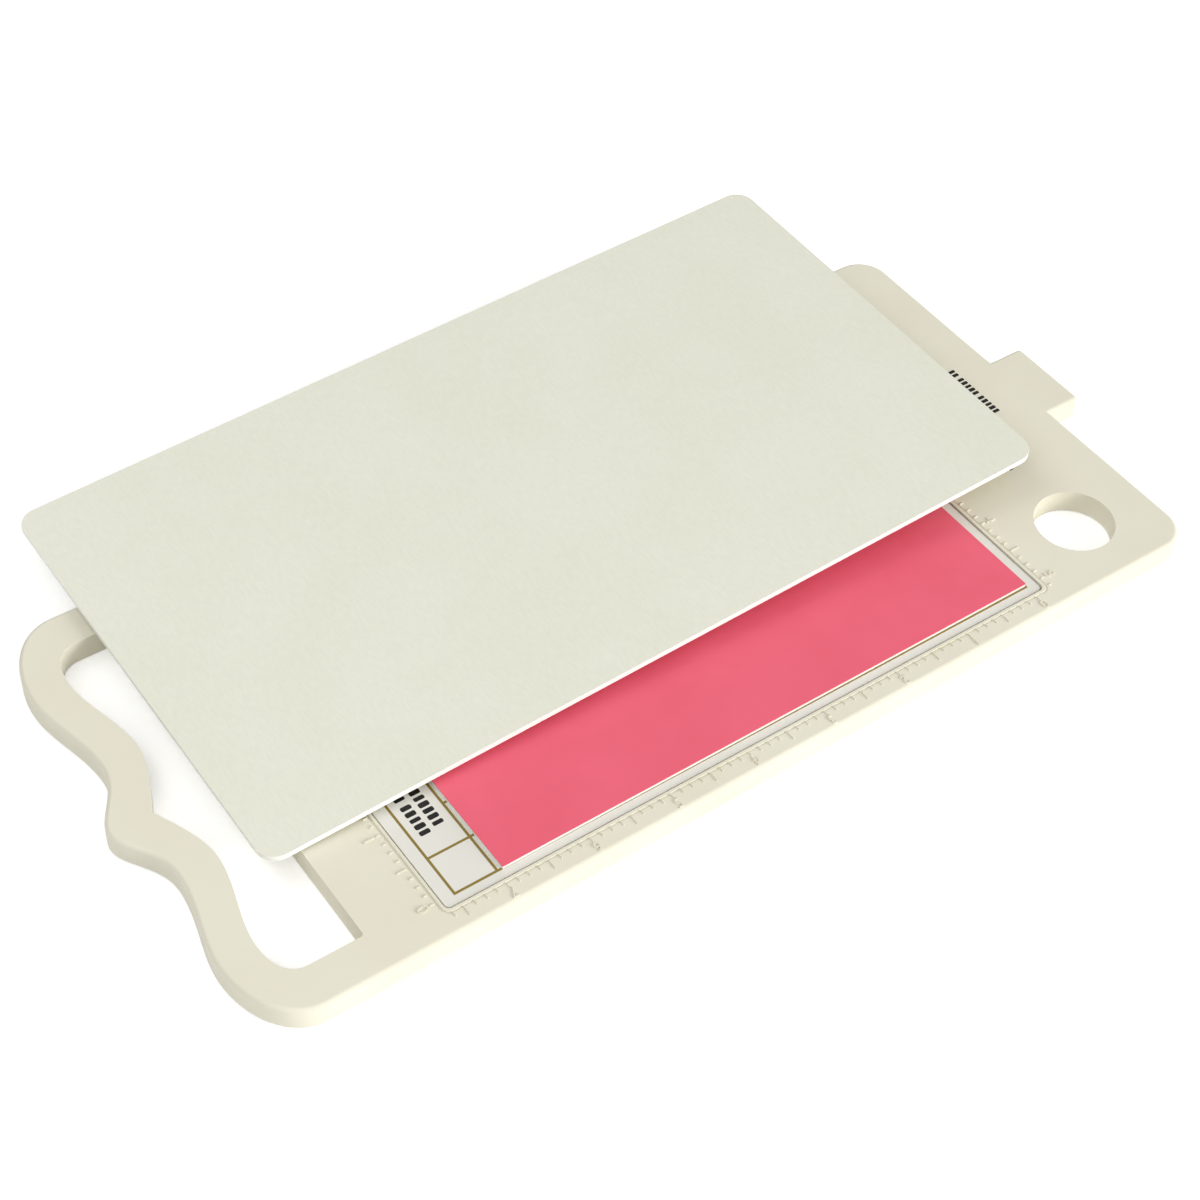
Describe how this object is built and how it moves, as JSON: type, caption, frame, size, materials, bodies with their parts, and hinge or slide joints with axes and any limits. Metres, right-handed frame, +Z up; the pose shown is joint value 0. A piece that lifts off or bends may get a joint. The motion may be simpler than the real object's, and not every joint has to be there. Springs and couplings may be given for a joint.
{
  "type": "heated foiling platform",
  "caption": "Flat heated platform with a wavy carry handle, docking tab, ruler-edged hot plate, lift-out spacer board and loose cover plate for foiling paper.",
  "frame": {"origin": "on the underside, on the bottom cover, straight below the middle of the heated plate", "axes": "+X towards the docking tab, along the long sides; +Y towards the long side the cover plate is pushed to, away from the finger hole; +Z up out of the heated plate"},
  "size_m": [0.3202, 0.1846, 0.0206],
  "materials": {
    "platform_plastic": "fine satin moulded ABS",
    "cover_plastic": "satin moulded ABS",
    "heated_plate_coating": "satin heat-proof coating with a printed grid",
    "film": "smooth polyimide",
    "insulation": "dense felt board",
    "circuit_board": "solder-masked glass epoxy",
    "contact_brass": "plain",
    "sensor_bead": "epoxy",
    "fuse_case": "plain",
    "heater_wire": "silicone insulation",
    "sensor_wire": "silicone insulation",
    "screw_steel": "zinc plated",
    "board_core": "matt white board",
    "pink_facing": "matt pink",
    "cover_plate_plastic": "fine leather grain"
  },
  "bodies": {
    "platform": {"platform_frame": "platform_plastic", "heated_plate": "heated_plate_coating", "heater_film": "film", "insulation_board": "insulation", "bottom_cover": "cover_plastic", "contact_board": "circuit_board", "contact_pad_1": "contact_brass", "contact_pad_2": "contact_brass", "contact_pad_3": "contact_brass", "contact_pad_4": "contact_brass", "thermistor": "sensor_bead", "thermal_fuse": "fuse_case", "heater_lead_1": "heater_wire", "heater_lead_2": "heater_wire", "fuse_link": "heater_wire", "sensor_lead_1": "sensor_wire", "sensor_lead_2": "sensor_wire", "cover_screw_1": "screw_steel", "cover_screw_2": "screw_steel", "cover_screw_3": "screw_steel", "cover_screw_4": "screw_steel", "cover_screw_5": "screw_steel", "cover_screw_6": "screw_steel", "cover_screw_7": "screw_steel", "cover_screw_8": "screw_steel"},
    "spacer": {"spacer_core": "board_core", "spacer_facing": "pink_facing"},
    "cover": {"cover_plate": "cover_plate_plastic"}
  },
  "joints": [
    {"name": "spacer_lift", "type": "slide", "parent": "platform", "child": "spacer", "axis": [0, 0, 1], "range_m": [0, 0.06]},
    {"name": "cover_lift", "type": "slide", "parent": "spacer", "child": "cover", "axis": [0, 0, 1], "range_m": [0, 0.08]}
  ]
}
